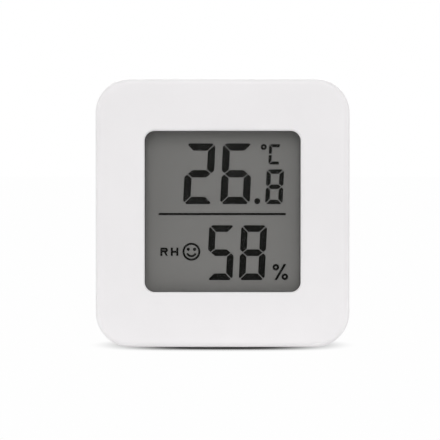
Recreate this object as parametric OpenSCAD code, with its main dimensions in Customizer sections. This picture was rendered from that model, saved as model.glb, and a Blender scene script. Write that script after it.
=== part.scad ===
// Pocket temperature and humidity sensor: a rounded-square case with a recessed window and a
// reflective liquid-crystal readout. The back has a coin-cell cover, a fold-out stand, a set
// button, air slots and a keyhole to hang it by.
// Millimetres. +Z is up, the window faces -Y and the origin is the middle of the foot.
// Depths are measured from the front face towards the back.

/* [Case] */
// Width of the case, side to side
case_w = 43.5; // [39.5:0.5:60]
// Height of the case, foot to top
case_h = 46; // [41.5:0.5:64]
// Depth of the case, front face to back face
case_d = 13.5; // [12.2:0.1:17]
// Radius of the four corners, seen from the front
corner_r = 5.9; // [5:0.1:8]
// Rounding round the rim of the front face
front_edge_r = 1; // [0.4:0.1:1.6]
// Rounding round the rim of the back face
back_edge_r = 1.4; // [0.4:0.1:1.8]
// Thickness of the side walls
wall = 1.8; // [1.6:0.1:2.1]
// Thickness of the back wall
back_wall = 1.6; // [1.4:0.1:2]
// Depth of the rear shell, parting line to back face
rear_shell_d = 4.65; // [4.2:0.05:5.2]
// Shadow gap between the two shells
parting_gap = 0.25; // [0.1:0.05:0.5]
// How far the rear shell's tongue reaches into the front shell
tongue_h = 1; // [0.5:0.1:1.4]
// Thickness of that tongue
tongue_t = 0.8; // [0.5:0.1:1]
// Distance of the two snap beads under the tongue from the middle
snap_x = 9; // [6:0.5:10]
// Width of each snap bead
snap_w = 6; // [3:0.5:7]
// Length of the bead along the tongue
snap_l = 0.5; // [0.3:0.05:0.6]
// Height of the bead off the tongue
snap_h = 0.3; // [0.15:0.05:0.4]
// Lead from the tongue's tip to the bead
snap_lead = 0.2; // [0.1:0.05:0.3]

/* [Window] */
// Width of the front face on each side of the window
bezel_side = 8.4; // [8:0.05:9.5]
// Height of the front face above the window
bezel_top = 8.95; // [8.6:0.05:10]
// Height of the front face below the window
bezel_foot = 9.45; // [9:0.05:10.5]
// Radius of the window's corners
window_r = 1.7; // [0.5:0.1:4]
// Rounding round the front edge of the window
window_edge_r = 0.4; // [0.1:0.05:0.8]
// Thickness of the lip in front of the lens
lip_t = 1; // [0.9:0.05:1.4]
// How far the lens reaches behind the lip on each side
lens_overlap = 1.6; // [1:0.1:1.9]
// Thickness of the lens
lens_t = 0.8; // [0.5:0.05:1.1]
// Thickness of the adhesive frame round the lens
tape_t = 0.15; // [0.1:0.05:0.3]
// How far the adhesive frame stays back from the window; below zero its edge shows in the window
tape_inset = -0.1; // [-0.2:0.1:0.8]

/* [Display] */
// How far the display glass reaches past the window on each side
glass_margin = 1.2; // [0.9:0.1:1.4]
// Thickness of each of the two glass plates
glass_t = 0.7; // [0.4:0.05:0.9]
// Thickness of the front polarizer film
polarizer_t = 0.2; // [0.1:0.05:0.3]
// Thickness of the liquid-crystal layer between the plates
crystal_layer_t = 0.06; // [0.05:0.01:0.1]
// Width of the seal round the liquid-crystal layer
seal_w = 0.7; // [0.4:0.1:0.8]
// Thickness of the reflector film
reflector_t = 0.2; // [0.1:0.05:0.3]
// Height of the contact ledge below the rear glass
ledge_h = 2.8; // [2.6:0.1:3.2]
// Wall of the frame that holds the display
frame_wall = 0.8; // [0.6:0.1:1]
// How far the films stay back from the edge of the glass
film_inset = 0.4; // [0.2:0.05:0.6]
// How far that frame reaches in under the display
frame_ledge = 1.2; // [0.8:0.1:1.4]
// Width of the contact strip between display and board
strip_w = 1.8; // [1.4:0.1:2]

/* [Readout] */
// Temperature shown, in tenths of a degree
temperature_shown = 268; // [100:1:999]
// Relative humidity shown, in percent
humidity_shown = 58; // [10:1:99]
// Lean of the digits, in degrees
digit_lean = 2.8; // [0:0.1:8]
// Gap between neighbouring segments
segment_gap = 0.16; // [0.1:0.01:0.3]
// How much of a segment's outer corners is cut off, as a share of its stroke
segment_cut = 0.37; // [0.1:0.01:0.5]
// Where a figure's upper and lower half meet, as a share of the stroke from its side
segment_tip = 0.38; // [0.3:0.01:0.6]
// Height of the temperature digits
temperature_h = 10.45; // [8:0.05:11]
// Width of the temperature digits
temperature_w = 5.1; // [4:0.01:5.4]
// Stroke of the temperature digits
temperature_stroke = 1.26; // [0.8:0.01:1.3]
// Distance from one temperature digit to the next
temperature_pitch = 6.38; // [6.1:0.01:6.6]
// Height of the tenths digit
tenths_h = 6; // [4:0.01:6.2]
// Width of the tenths digit
tenths_w = 3; // [2:0.01:3.2]
// Stroke of the tenths digit
tenths_stroke = 0.77; // [0.4:0.01:0.8]
// Height of the humidity digits
humidity_h = 9.45; // [7:0.05:9.8]
// Width of the humidity digits
humidity_w = 4.45; // [3.5:0.01:4.8]
// Stroke of the humidity digits
humidity_stroke = 1.15; // [0.7:0.01:1.2]
// Distance from one humidity digit to the next
humidity_pitch = 5.52; // [5.2:0.01:5.6]
// Height of the temperature unit's letter
unit_h = 3.5; // [2.4:0.01:3.6]
// Width of the temperature unit's letter
unit_w = 1.87; // [1.4:0.01:2.2]
// Stroke of the temperature unit's letter
unit_stroke = 0.53; // [0.3:0.01:0.6]
// Gap halfway up the temperature unit's letter
unit_gap = 0.24; // [0.2:0.01:0.5]
// How far the line between the two readings stays back from the window's sides
divider_inset = 2.4; // [2:0.05:5]
// Thickness of that line
divider_t = 0.38; // [0.2:0.01:0.5]
// Radius of the comfort face
face_r = 1.54; // [1:0.01:1.6]
// Stroke of the comfort face, the degree ring and the legend
fine_stroke = 0.35; // [0.2:0.01:0.36]
// Height of the humidity legend's letters
legend_h = 1.42; // [1:0.01:1.6]
// Width of the humidity legend's letters
legend_w = 1.3; // [0.9:0.01:1.5]
// Distance from one letter of the legend to the next
legend_pitch = 1.8; // [1.7:0.01:2.2]
// Height of the bowl of the legend's first letter
bowl_h = 0.8; // [0.7:0.01:0.9]
// Radius of the decimal point
point_r = 0.52; // [0.3:0.01:0.6]
// Radius of the degree ring
degree_r = 0.51; // [0.4:0.01:0.6]
// Radius of the percent sign's rings
percent_r = 0.57; // [0.5:0.01:0.65]
// Stroke of the percent sign
percent_stroke = 0.39; // [0.3:0.01:0.45]
// Width of the comfort face's mouth, as the radius of its arc
mouth_r = 0.94; // [0.6:0.01:1.1]
// How far the ends of the mouth stay below the middle of the face, in degrees
mouth_end = 20; // [10:1:45]
// Radius of the comfort face's eyes
eye_r = 0.28; // [0.15:0.01:0.3]
// Place of the comfort face's right eye, from the middle of the face
eye_at = [0.54, 0.42]; // [-1:0.01:1]
// Lower left corner of the temperature digits, from the middle of the window
temperature_at = [-6.82, 1.24]; // [-12:0.01:12]
// Lower left corner of the tenths digit
tenths_at = [7.3, 1.23]; // [-12:0.01:12]
// Middle of the decimal point
point_at = [5.97, 1.75]; // [-12:0.01:12]
// Middle of the degree ring
degree_at = [7.08, 11.07]; // [-12:0.01:12]
// Lower left corner of the unit's letter
unit_at = [7.85, 8.05]; // [-12:0.01:12]
// Middle of the line between the two readings
divider_at = [-0.07, -0.47]; // [-12:0.01:12]
// Lower left corner of the humidity digits
humidity_at = [-2.76, -11.85]; // [-12:0.01:12]
// Middle of the percent sign
percent_at = [9.94, -10.46]; // [-12:0.01:12]
// Place of the percent sign's lower ring, from the middle of the sign
percent_ring_at = [0.77, -0.82]; // [-1:0.01:1]
// Upper end of the percent sign's stroke, from the middle of the sign
percent_stroke_at = [0.8, 1.38]; // [-2:0.01:2]
// Middle of the comfort face
face_at = [-5.37, -6.96]; // [-12:0.01:12]
// Lower left corner of the humidity legend
legend_at = [-10.72, -7.68]; // [-12:0.01:12]

/* [Circuit board] */
// Thickness of the circuit board
board_t = 1; // [0.8:0.1:1.2]
// Gap between the board and the case walls
board_gap = 0.4; // [0.2:0.05:0.6]
// Height of the lower board screws above the foot
board_screw_low = 15.5; // [14:0.1:16]
// Distance from the top of the case down to the upper board screws
board_screw_drop = 15.5; // [14:0.1:16]
// Radius of the resin drop over the chip
blob_r = 4.5; // [3:0.1:6]
// Gap between that resin drop and the display
blob_gap = 0.6; // [0.3:0.05:1.2]
// Thickness of the radio module's own board
module_t = 0.6; // [0.4:0.1:0.8]
// Distance of the radio module from the battery cup
module_gap = 0.5; // [0.3:0.05:0.6]
// Distance of the radio module from the board's edge
module_edge = 0.45; // [0.3:0.05:1]
// Distance of the radio module from the board screws' heads
module_clear = 0.8; // [0.5:0.1:1.5]
// Height of the shield can on the radio module
shield_t = 1.3; // [0.8:0.1:1.8]
// How far the shield can stays back from the module's edge
shield_inset = 0.4; // [0.2:0.1:0.8]
// Length of the module's bare end, which carries the printed antenna
antenna_l = 3; // [2:0.1:4]
// Size of a chip part: along the row, across it and off the board
chip_size = [1.6, 0.8, 0.55]; // [0.3:0.05:3]
// Number of chip parts
chip_count = 5; // [1:1:5]
// Distance from one chip part to the next
chip_pitch = 2.3; // [2:0.1:2.4]
// Outermost chip part, in from the board's right edge and up from its lower edge
chip_at = [7.15, 1.8]; // [1.5:0.05:8]
// Middle of the watch crystal, in from the board's left edge and up from its lower edge
crystal_at = [8.55, 2.2]; // [1.5:0.05:9]
// Diameter of the watch crystal's can
crystal_d = 2; // [1.5:0.1:2.4]
// Length of that can
crystal_l = 6; // [5:0.1:7]
// Width of the humidity sensor's housing
sensor_w = 5; // [4:0.1:5.4]
// Height of that housing, up the board
sensor_h = 5; // [4:0.1:6]
// Thickness of that housing, off the board
sensor_t = 2.2; // [1.6:0.1:2.8]
// Wall of that housing
sensor_wall = 0.5; // [0.3:0.05:0.7]
// Width of the slots in that housing
sensor_slot_w = 0.6; // [0.4:0.05:0.8]
// How far that housing lies out from the middle of the air slots
sensor_shift = 1; // [0.8:0.1:1.4]
// How far the thermistor lies in from the middle of the air slots
bead_shift = 3.5; // [3.3:0.1:3.6]
// Diameter of the thermistor's bead
bead_d = 1.5; // [1:0.1:1.8]
// Diameter of the thermistor's leads
lead_d = 0.4; // [0.3:0.05:0.5]
// Distance between the thermistor's leads
lead_pitch = 0.8; // [0.6:0.05:0.9]
// Height of the thermistor's bead off the board
bead_rise = 2.4; // [1.6:0.1:3]

/* [Battery] */
// Diameter of the coin cell
cell_d = 20; // [19.4:0.1:20.4]
// Thickness of the coin cell
cell_t = 3.2; // [2.8:0.1:3.4]
// Height of the cell's middle above the foot
cell_z = 19; // [18.5:0.1:19.6]
// Play round the cell in its cup
cell_play = 0.25; // [0.15:0.05:0.35]
// Height of the negative contact spring
contact_h = 0.8; // [0.6:0.1:1]
// Thickness of the contacts' sheet metal
contact_t = 0.25; // [0.15:0.05:0.3]
// Width of both contacts
contact_w = 5; // [3:0.1:6]
// Length of the negative contact's soldered foot
contact_foot = 3; // [2:0.1:4]
// Length of its ramp
contact_ramp = 3; // [2:0.1:4]
// Length of the pad that presses on the cell
contact_pad = 2; // [1:0.1:3]
// Length of the positive contact's soldered foot
tab_foot = 2.4; // [1.5:0.1:2.8]
// How far the positive contact reaches up the side of the cell
tab_rise = 2.2; // [1:0.1:2.4]
// Height of the cell's smaller pole above its can
pole_h = 0.3; // [0.2:0.05:0.5]
// How much smaller that pole is than the can, all round
pole_step = 1.2; // [0.8:0.1:2]
// Rounding of the can's rim
can_edge_r = 0.3; // [0.1:0.05:0.5]
// Wall of the battery cup
cup_wall = 1; // [0.8:0.1:1.2]

/* [Battery cover] */
// Thickness of the cover's flange
flange_t = 0.8; // [0.6:0.05:1]
// Thickness of the shelf that the lugs hook under
shelf_t = 0.75; // [0.6:0.05:0.9]
// Thickness of the lugs
lug_t = 0.6; // [0.5:0.05:0.8]
// How far the lugs reach under the shelf
lug_reach = 1; // [0.7:0.05:1.1]
// Number of lugs
lug_count = 3; // [2:1:3]
// Width of each lug, in degrees
lug_angle = 34; // [20:1:38]
// Turn that frees the lugs, in degrees
cover_twist = 50; // [46:1:60]
// How far the flange covers the lugs' entry notches
flange_cover = 0.5; // [0.3:0.05:0.6]
// Length of the coin slot
coin_slot_l = 13; // [8:0.5:16]
// Width of the coin slot
coin_slot_w = 2; // [1.4:0.1:2.6]
// Depth of the coin slot
coin_slot_d = 0.9; // [0.5:0.1:1.3]
// Bevel round the cover's rim
cover_edge = 0.25; // [0.1:0.05:0.4]
// Extra width of the lugs' entry notches, in degrees
notch_spare = 6; // [4:1:8]
// Radius of the alignment marks
mark_r = 0.4; // [0.3:0.05:0.5]
// Depth of the alignment marks
mark_d = 0.25; // [0.1:0.05:0.4]
// Distance of the alignment marks from the cover's rim
mark_inset = 0.9; // [0.8:0.05:1.4]

/* [Stand] */
// Thickness of the stand
stand_t = 2; // [1.6:0.1:2.2]
// Width of its legs
stand_leg_w = 2.2; // [1.6:0.1:2.4]
// Height of the bar that joins the legs
stand_bar_h = 2.8; // [2:0.1:3]
// Distance from the top of the case down to the stand's pivot
stand_drop = 13.5; // [13.2:0.1:14.5]
// Height of the stand's lower edge above the foot
stand_foot_z = 1.9; // [1.7:0.1:2.1]
// How far the stand folds out, in degrees
stand_open = 40; // [25:1:45]
// How far the legs reach above their pivot
stand_heel = 1.5; // [1.2:0.1:1.7]
// Radius of the stand's outer corners
stand_corner_r = 2.4; // [1.6:0.1:3]
// Radius of the stand's inner corners
stand_inner_r = 1.6; // [1.5:0.1:2.4]
// Rounding along the stand's outer edges
stand_edge_r = 0.3; // [0.1:0.05:0.5]
// Land between the battery cover and the stand's channel
channel_land = 0.9; // [0.8:0.05:1]
// Wall under and round that channel
channel_wall = 1; // [0.8:0.1:1.1]
// Radius of the pivot pins
pin_r = 0.7; // [0.5:0.05:0.75]
// Length of the pivot pins
pin_l = 1; // [0.7:0.1:1.1]
// Wall behind the ends of the pivot pins
pin_wall = 0.6; // [0.4:0.1:0.8]
// Width of the finger notch under the stand
notch_w = 10; // [6:0.5:14]
// Depth of the finger notch
notch_d = 1.3; // [0.8:0.1:1.6]

/* [Button, air slots and keyhole] */
// Radius of the set button
button_r = 2.4; // [1.8:0.1:2.6]
// Travel of the set button
button_travel = 0.5; // [0.3:0.05:0.6]
// Distance from the top of the case down to the button
button_drop = 7.3; // [6.9:0.1:7.5]
// How far the button sits below the back face
button_sink = 0.2; // [0.1:0.05:0.4]
// How far the button's flange reaches behind the wall
button_reach = 0.8; // [0.5:0.1:1]
// Thickness of that flange
button_flange_t = 0.7; // [0.5:0.1:0.9]
// Bevel round the button's rim
button_edge = 0.3; // [0.1:0.05:0.5]
// Radius of the button's stem
stem_r = 1.2; // [0.9:0.1:1.6]
// Radius of the switch's plunger
plunger_r = 0.9; // [0.6:0.1:1.2]
// How far the plunger stands out of the switch
plunger_rise = 0.9; // [0.8:0.1:1.2]
// How far the plunger reaches into the switch
plunger_depth = 0.7; // [0.4:0.1:0.8]
// Width of the push switch
switch_w = 4.6; // [3.6:0.1:5]
// Height of the push switch, off the board
switch_h = 2; // [1.6:0.1:2.2]
// Number of air slots
vent_count = 4; // [2:1:4]
// Width of each air slot
vent_w = 1.2; // [0.8:0.1:1.4]
// Length of each air slot
vent_l = 6; // [4:0.1:6.4]
// Distance from one air slot to the next
vent_pitch = 2.3; // [2.1:0.1:2.4]
// Distance from the top of the case down to the middle of the air slots
vent_drop = 7.3; // [6.9:0.1:7.5]
// Radius of the keyhole's round entry
keyhole_r = 3.1; // [2.6:0.1:3.3]
// Width of the keyhole's slot
keyhole_slot_w = 3.4; // [2.6:0.1:4]
// Distance from the entry up to the slot's end
keyhole_rise = 3.8; // [3.4:0.1:4]
// Distance from the top of the case down to the slot's end
keyhole_drop = 5.5; // [5.3:0.1:5.7]
// Room for a screw head behind the keyhole
keyhole_room = 2.4; // [2:0.1:2.8]
// Room for a screw head round the keyhole
keyhole_gap = 0.3; // [0.2:0.05:0.4]
// Wall of the pocket behind the keyhole
keyhole_wall = 0.8; // [0.6:0.1:1]
// Bevel round the openings in the back face
lip_edge = 0.2; // [0.1:0.05:0.3]

/* [Screws] */
// Diameter of the case screws' shank
case_screw_d = 1.7; // [1.4:0.1:2]
// Length of the case screws under the head
case_screw_l = 6.6; // [6:0.1:7]
// Diameter of the case screws' head
case_head_d = 3; // [2.6:0.1:3.2]
// Height of the case screws' head
case_head_h = 1.1; // [0.8:0.1:1.3]
// How far the head's seat lies below the back face
case_screw_sink = 2.1; // [1.7:0.1:2.4]
// Distance from the top of the case down to the case screws
case_screw_drop = 7.5; // [7:0.1:8]
// Wall round the case screws' head
boss_wall = 0.6; // [0.5:0.05:0.65]
// How far the case screws' bosses run into the side walls
boss_overlap = 0.3; // [0.2:0.05:0.5]
// How far the screw holes run past the screws' tips
hole_end = 0.4; // [0.2:0.1:0.6]
// Diameter of the board screws' shank
board_screw_d = 1.4; // [1.2:0.1:1.6]
// Length of the board screws under the head
board_screw_l = 3.6; // [3:0.1:4]
// Diameter of the board screws' head
board_head_d = 2.4; // [2:0.1:2.6]
// Height of the board screws' head
board_head_h = 0.8; // [0.6:0.1:1]
// Radius of the posts for the board screws
post_r = 1.6; // [1.3:0.1:1.7]
// Distance of the board screws' heads from the board's edge
head_margin = 0.2; // [0.1:0.05:0.3]
// Thickness of the ribs that join the posts to the side walls
rib_t = 1; // [0.8:0.1:1.4]

/* [Fits] */
// Radial clearance of the parts that turn or slide in the case
run_fit = 0.15; // [0.1:0.05:0.2]
// Clearance round the folded stand
stand_fit = 0.2; // [0.15:0.05:0.3]
// Radial clearance of the pivot pins
pin_fit = 0.05; // [0.02:0.01:0.1]
// Clearance of the rear shell's tongue and snap beads in the front shell
tongue_fit = 0.12; // [0.06:0.01:0.15]
// Clearance of parts that are only located
snug = 0.05; // [0.02:0.01:0.1]
// End play of the cover, the button and the cell
end_play = 0.08; // [0.05:0.01:0.12]
// Clearance round the screws' heads
head_fit = 0.15; // [0.1:0.05:0.2]
// Gap left between the stand's heel and its stop
stop_gap = 0.05; // [0.03:0.01:0.08]
// How far the cover and the stand sit below the back face
back_sink = 0.1; // [0.05:0.05:0.2]

/* [Hidden] */
$fn = 72;

// Overshoot of cutting shapes past the faces they cut
over = 1;

// Inside of the case
inner_w = case_w - 2 * wall;
inner_h = case_h - 2 * wall;
inner_r = corner_r - wall;
front_shell_d = case_d - rear_shell_d - parting_gap;
rear_from = case_d - rear_shell_d;
back_inner = case_d - back_wall;

// Lower edge of the board, and half its width
board_low = wall + board_gap;
board_half = inner_w / 2 - board_gap;

// Window, lens and adhesive frame
window_w = case_w - 2 * bezel_side;
window_h = case_h - bezel_top - bezel_foot;
window_z = bezel_foot + window_h / 2;
divider_l = window_w - 2 * divider_inset;
lens_w = window_w + 2 * lens_overlap;
lens_h = window_h + 2 * lens_overlap;
lens_r = window_r + lens_overlap;
tape_w = lens_overlap - tape_inset;
lens_front = lip_t + tape_t;
lens_back = lens_front + lens_t;

// Display stack, front to back
polarizer_back = lens_back + polarizer_t;
layer_front = polarizer_back + glass_t;
layer_back = layer_front + crystal_layer_t;
rear_glass_back = layer_back + glass_t;
lcd_back = rear_glass_back + reflector_t;
glass_w = window_w + 2 * glass_margin;
rear_glass_h = window_h + 2 * glass_margin;
front_glass_h = rear_glass_h + ledge_h;
front_glass_z = window_z - ledge_h / 2;
strip_z = window_z - rear_glass_h / 2 - ledge_h / 2;
strip_l = glass_w - 2 * glass_margin;

// Battery cover, cell and board, worked out from the back face forwards
cover_back = case_d - back_sink;
flange_front = cover_back - flange_t;
shelf_back = flange_front - end_play;
shelf_front = shelf_back - shelf_t;
lug_back = shelf_front - end_play;
cover_front = lug_back - lug_t;
groove_front = cover_front - end_play;
cell_back = cover_front - end_play;
cell_front = cell_back - cell_t;
board_back = cell_front - contact_h;
board_front = board_back - board_t;
blob_h = board_front - lcd_back - blob_gap;
cup_bore_r = cell_d / 2 + cell_play;
plug_r = cup_bore_r - run_fit;
lug_r = cup_bore_r + lug_reach;
groove_r = lug_r + run_fit;
flange_r = groove_r + flange_cover;
recess_r = flange_r + run_fit;
cup_r = groove_r + cup_wall;
notch_r = groove_r + run_fit;
notch_angle = lug_angle + notch_spare;
lug_angles = [for (i = [0:lug_count - 1]) i * 360 / lug_count];
contact_l = contact_foot + contact_ramp + contact_pad;
tab_back = cell_front + tab_rise;

// Stand, in a U-shaped channel round the battery cover
channel_in = recess_r + lip_edge + channel_land;
stand_in = channel_in + stand_fit;
stand_out = stand_in + stand_leg_w;
channel_out = stand_out + stand_fit;
stand_back = case_d - back_sink;
stand_mid = stand_back - stand_t / 2;
channel_front = stand_back - stand_t - stand_fit;
stand_pivot_z = case_h - stand_drop;
stand_top = stand_pivot_z + stand_heel;
channel_top = stand_pivot_z + norm([stand_t / 2, stand_heel]) + stand_fit;
stop_reach = stand_t / 2 + stand_fit - stop_gap;
cheek_t = pin_l + pin_wall;
cheek_r = pin_r + channel_wall;

// Case screws, merged into the side walls by the boss overlap
boss_r = case_head_d / 2 + head_fit + boss_wall;
case_screw_x = inner_w / 2 - boss_r + boss_overlap;
case_seat = case_d - case_screw_sink;
screw_points = [for (side = [-1, 1]) [side * case_screw_x, case_h - case_screw_drop]];

// Board screws, on posts that a rib joins to the side walls
board_screw_x = board_half - board_head_d / 2 - head_margin;
board_screw_high = case_h - board_screw_drop;
board_screw_points = [for (side = [-1, 1], z = [board_screw_low, board_screw_high])
    [side * board_screw_x, z]];

// Radio module, in the room between battery cup, board edge and board screws
module_w = board_half - module_edge - cup_r - module_gap;
module_h = board_screw_high - board_screw_low - board_head_d - 2 * module_clear;
module_x = cup_r + module_gap + module_w / 2;
module_z = (board_screw_low + board_screw_high) / 2;

// Button, switch, air slots and keyhole; the button and the slots lie midway between keyhole and screws
pocket_half = keyhole_r + keyhole_gap;
flank_x = (pocket_half + keyhole_wall + case_screw_x - boss_r) / 2;
button_at = [-flank_x, case_h - button_drop];
vent_at = [flank_x, case_h - vent_drop];
sensor_at = vent_at + [sensor_shift, 0];
bead_at = vent_at - [bead_shift, 0];
switch_top = board_back + switch_h;
plunger_top = switch_top + plunger_rise;
button_flange_back = back_inner - end_play;
button_back = case_d - button_sink;
slot_z = case_h - keyhole_drop;
keyhole_z = slot_z - keyhole_rise;
pocket_front = back_inner - keyhole_room;

// Lit segments of the figures 0 to 9, lettered clockwise from the top with the middle last
LIT = ["abcdef", "bc", "abdeg", "abcdg", "bcfg", "acdfg", "acdefg", "abc", "abcdefg", "abcdfg"];

function at(depth) = depth - case_d / 2;

// Slab with a front-view outline, from one depth to another
module slab(from, to)
    translate([0, at(to), 0]) rotate([90, 0, 0]) linear_extrude(to - from) children();

// Round bar along the depth of the case
module rod(place, from, to, r)
    translate([place[0], at(from), place[1]]) rotate([-90, 0, 0]) cylinder(h = to - from, r = r);

// Rectangle with rounded corners, centred
module rounded(w, h, r) {
    square([w - 2 * r, h], center = true);
    square([w, h - 2 * r], center = true);
    for (x = [-1, 1], y = [-1, 1])
        translate([x * (w / 2 - r), y * (h / 2 - r)]) circle(r);
}

// Upright slot with round ends, centred
module slot(w, l) {
    square([w, l - w], center = true);
    for (end = [-1, 1])
        translate([0, end * (l - w) / 2]) circle(w / 2);
}

// Flat ring
module ring(r, stroke)
    difference() {
        circle(r);
        circle(r - stroke);
    }

module quarter(r)
    intersection() {
        circle(r);
        square(r);
    }

// Half-section of a rim: flat at the bottom, rounded at the top outer edge
module rim_section(r, thick, edge_r) {
    square([r, thick - edge_r]);
    translate([0, thick - edge_r]) square([r - edge_r, edge_r]);
    translate([r - edge_r, thick - edge_r]) quarter(edge_r);
}

// Half-section of an opening: straight through, then flared outwards round its edge
module window_section(r, deep, edge_r) {
    translate([0, -deep]) square([r, deep]);
    difference() {
        square([r + edge_r, edge_r]);
        translate([r + edge_r, 0]) circle(edge_r);
    }
    translate([0, edge_r]) square([r + edge_r, over]);
}

// Carries a half-section round a rounded rectangle and fills the middle from low to high
module swept(w, h, r, low, high) {
    translate([r - w / 2, r - h / 2, low]) cube([w - 2 * r, h - 2 * r, high - low]);
    for (turn = [0:3]) {
        across = turn % 2 == 0 ? w : h;
        along = turn % 2 == 0 ? h : w;
        rotate(90 * turn) {
            translate([across / 2 - r, along / 2 - r, 0]) rotate_extrude(angle = 90) children();
            translate([r - across / 2, along / 2 - r, 0])
                rotate([90, 0, 90]) linear_extrude(across - 2 * r) children();
        }
    }
}

// Outline of the case's inside, smaller by a margin
module inside(margin)
    translate([0, case_h / 2]) rounded(inner_w - 2 * margin, inner_h - 2 * margin, inner_r - margin);

// Sector of a flat ring, in the battery cover's own frame
module sector(r_in, r_out, thick, middle, angle)
    rotate(middle - angle / 2) rotate_extrude(angle = angle)
        translate([r_in, 0]) square([r_out - r_in, thick]);

// Frame of the battery cover: its axis runs towards the back from a depth
module cover_frame(depth)
    translate([0, at(depth), cell_z]) rotate([-90, 0, 0]) children();

// Rectangle with square upper corners and rounded lower ones, centred on the middle line
module tub(half, low, high, r) {
    translate([-half, low + r]) square([2 * half, high - low - r]);
    translate([r - half, low]) square([2 * (half - r), r]);
    for (side = [-1, 1])
        translate([side * (half - r), low + r]) circle(r);
}

// U-shaped outline round the stand, larger by a margin
module stand_outline(margin, top)
    difference() {
        tub(stand_out + margin, stand_foot_z - margin, top, stand_corner_r + margin);
        tub(stand_in - margin, stand_foot_z + stand_bar_h + margin, top + over, stand_inner_r - margin);
    }

// Bevel round a round opening in the back face
module lip(place, r)
    translate([place[0], at(case_d - lip_edge), place[1]]) rotate([-90, 0, 0])
        cylinder(h = 2 * lip_edge, r1 = r, r2 = r + 2 * lip_edge);

// Shallow alignment mark in a face at the back, beside the battery cover's rim
module mark(r, angle, face)
    rod([r * sin(angle), cell_z + r * cos(angle)], face - mark_d, face + over, mark_r);

// Beads under the rear shell's tongue that snap into the front shell, larger by a margin
module snap_beads(margin) {
    from = front_shell_d - tongue_h + snap_lead;
    for (side = [-1, 1])
        slab(from - margin, from + snap_l + margin)
            translate([side * snap_x - snap_w / 2 - margin, wall - tongue_t - snap_h - margin])
                square([snap_w + 2 * margin, snap_h + tongue_t / 2]);
}

module front_case()
    color("#efedee") difference() {
        union() {
            difference() {
                translate([0, at(front_shell_d), case_h / 2]) rotate([90, 0, 0])
                    swept(case_w, case_h, corner_r, 0, front_shell_d)
                        rim_section(corner_r, front_shell_d, front_edge_r);
                slab(lens_back, front_shell_d + over) inside(0);
                slab(front_shell_d - tongue_h - tongue_fit, front_shell_d + over)
                    inside(-tongue_t - tongue_fit);
                snap_beads(tongue_fit);
            }
            for (place = screw_points)
                rod(place, lens_back - snug, front_shell_d, boss_r);
            for (place = board_screw_points) {
                rod(place, lens_back - snug, board_front, post_r);
                rib_l = case_w / 2 - wall / 2 - board_screw_x;
                slab(lens_back - snug, board_front)
                    translate([sign(place[0]) * (board_screw_x + rib_l / 2), place[1]])
                        square([rib_l, rib_t], center = true);
            }
        }
        translate([0, at(window_edge_r), window_z]) rotate([90, 0, 0])
            swept(window_w, window_h, window_r, -lip_t - over, window_edge_r + over)
                window_section(window_r, lip_t + over, window_edge_r);
        slab(lip_t, lens_back + over) translate([0, window_z])
            rounded(lens_w + 2 * snug, lens_h + 2 * snug, lens_r + snug);
        for (place = screw_points)
            rod(place, case_seat - case_screw_l - hole_end, front_shell_d + over, case_screw_d / 2 + snug);
        for (place = board_screw_points)
            rod(place, board_back - board_screw_l - hole_end, board_front + over, board_screw_d / 2 + snug);
    }

module window_tape()
    color("#262627") slab(lip_t, lens_front) translate([0, window_z])
        difference() {
            rounded(lens_w, lens_h, lens_r);
            rounded(lens_w - 2 * tape_w, lens_h - 2 * tape_w, lens_r - tape_w);
        }

module window_lens()
    color("#dfe5e6", 0.35) slab(lens_front, lens_back) translate([0, window_z])
        rounded(lens_w, lens_h, lens_r);

module lcd_polarizer()
    color("#8c8d8a", 0.5) slab(lens_back, polarizer_back) translate([0, window_z])
        square([glass_w - 2 * film_inset, rear_glass_h - 2 * film_inset], center = true);

module lcd_front_glass()
    color("#c9d2cf", 0.4) slab(polarizer_back, layer_front) translate([0, front_glass_z])
        square([glass_w, front_glass_h], center = true);

// One segment: its corner points, mirrored as asked and leaned over
module segment(points, w, h, flip_x, flip_y)
    polygon([for (p = points)
        let (x = flip_x ? w - p[0] : p[0], y = flip_y ? h - p[1] : p[1])
            [x + y * tan(digit_lean), y]]);

function has(lit, letter) = len(search(letter, lit)) > 0;

// Seven-segment figure with mitred ends and cut corners; its lower left corner is at the origin
module figure_segments(lit, w, h, stroke) {
    gap = segment_gap / sqrt(2);
    cut = segment_cut * stroke;
    tip = segment_tip * stroke;
    mid = h / 2;
    half = stroke / 2;
    bar = [[gap + cut, h], [w - gap - cut, h], [w - gap - cut / 2, h - cut / 2],
        [w - gap - stroke, h - stroke], [gap + stroke, h - stroke], [gap + cut / 2, h - cut / 2]];
    post = [[0, h - gap - cut], [cut / 2, h - gap - cut / 2], [stroke, h - gap - stroke],
        [stroke, mid + half + gap], [tip, mid + gap], [0, mid + tip + gap]];
    middle = [[tip + gap, mid], [stroke + gap, mid + half], [w - stroke - gap, mid + half],
        [w - tip - gap, mid], [w - stroke - gap, mid - half], [stroke + gap, mid - half]];
    if (has(lit, "a")) segment(bar, w, h, false, false);
    if (has(lit, "b")) segment(post, w, h, true, false);
    if (has(lit, "c")) segment(post, w, h, true, true);
    if (has(lit, "d")) segment(bar, w, h, false, true);
    if (has(lit, "e")) segment(post, w, h, false, true);
    if (has(lit, "f")) segment(post, w, h, false, false);
    if (has(lit, "g")) segment(middle, w, h, false, false);
}

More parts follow.
